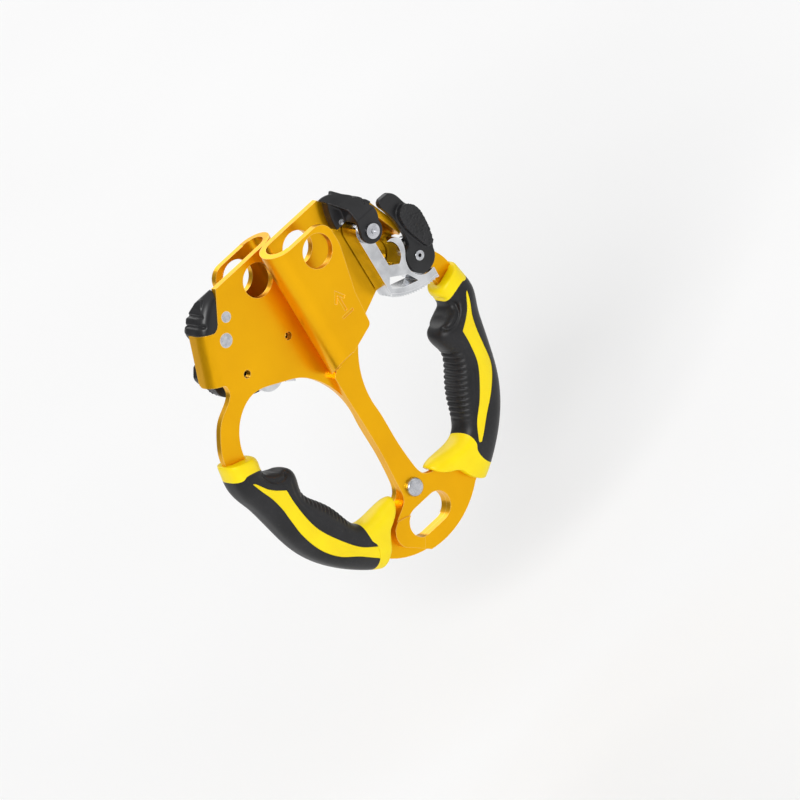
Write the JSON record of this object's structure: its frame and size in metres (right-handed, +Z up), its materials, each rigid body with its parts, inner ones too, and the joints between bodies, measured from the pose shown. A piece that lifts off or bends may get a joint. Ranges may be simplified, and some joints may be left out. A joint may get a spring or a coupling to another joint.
{
  "type": "ascender",
  "caption": "Double-handled rope clamp for a doubled rope, with toothed cams, thumb triggers, rubber grips and a shared lower attachment hole.",
  "frame": {"origin": "centre of the shared lower attachment hole, in the plane where the two plates touch", "axes": "+Z up along the ropes, +X towards the right handle, -Y the side that shows the right rope channel's lip"},
  "size_m": [0.1696, 0.0412, 0.184],
  "materials": {
    "anodised_plate": "gold anodised, satin",
    "cam_steel": "chromed steel",
    "rivet_steel": "turned steel",
    "spring_steel": "drawn wire",
    "black_nylon": "moulded, fine grain",
    "black_rubber": "matt moulded",
    "yellow_rubber": "satin moulded"
  },
  "bodies": {
    "frame": {"right_frame_plate": "anodised_plate", "right_cam_axle": "rivet_steel", "right_cam_spacer": "rivet_steel", "right_cam_washer": "rivet_steel", "right_cam_spring": "spring_steel", "right_corner_cap": "black_nylon", "right_cap_rivet": "rivet_steel", "right_grip_body": "black_rubber", "right_grip_collar": "yellow_rubber", "right_grip_boot": "yellow_rubber", "right_front_stripe": "yellow_rubber", "right_rear_stripe": "yellow_rubber", "left_frame_plate": "anodised_plate", "left_cam_axle": "rivet_steel", "left_cam_spacer": "rivet_steel", "left_cam_washer": "rivet_steel", "left_cam_spring": "spring_steel", "left_corner_cap": "black_nylon", "left_cap_rivet": "rivet_steel", "left_grip_body": "black_rubber", "left_grip_collar": "yellow_rubber", "left_grip_boot": "yellow_rubber", "left_front_stripe": "yellow_rubber", "left_rear_stripe": "yellow_rubber", "main_rivet": "rivet_steel"},
    "right_cam": {"right_cam": "cam_steel", "right_trigger_pivot": "rivet_steel", "right_trigger_spring": "spring_steel"},
    "right_trigger": {"right_trigger": "black_nylon"},
    "left_cam": {"left_cam": "cam_steel", "left_trigger_pivot": "rivet_steel", "left_trigger_spring": "spring_steel"},
    "left_trigger": {"left_trigger": "black_nylon"}
  },
  "joints": [
    {"name": "right_cam_swing", "type": "hinge", "parent": "frame", "child": "right_cam", "pos_m": [0.0442, -0.01, 0.1436], "axis": [0, 1, 0], "range_deg": [0, 82]},
    {"name": "left_cam_swing", "type": "hinge", "parent": "frame", "child": "left_cam", "pos_m": [-0.0442, 0.01, 0.1436], "axis": [0, -1, 0], "range_deg": [-52, 30]},
    {"name": "right_trigger_swing", "type": "hinge", "parent": "right_cam", "child": "right_trigger", "pos_m": [0.0612, -0.012, 0.1146], "axis": [0, 1, 0], "range_deg": [0, 16]},
    {"name": "left_trigger_swing", "type": "hinge", "parent": "left_cam", "child": "left_trigger", "pos_m": [-0.03181, 0.012, 0.11235], "axis": [0, -1, 0], "range_deg": [0, 16]}
  ]
}
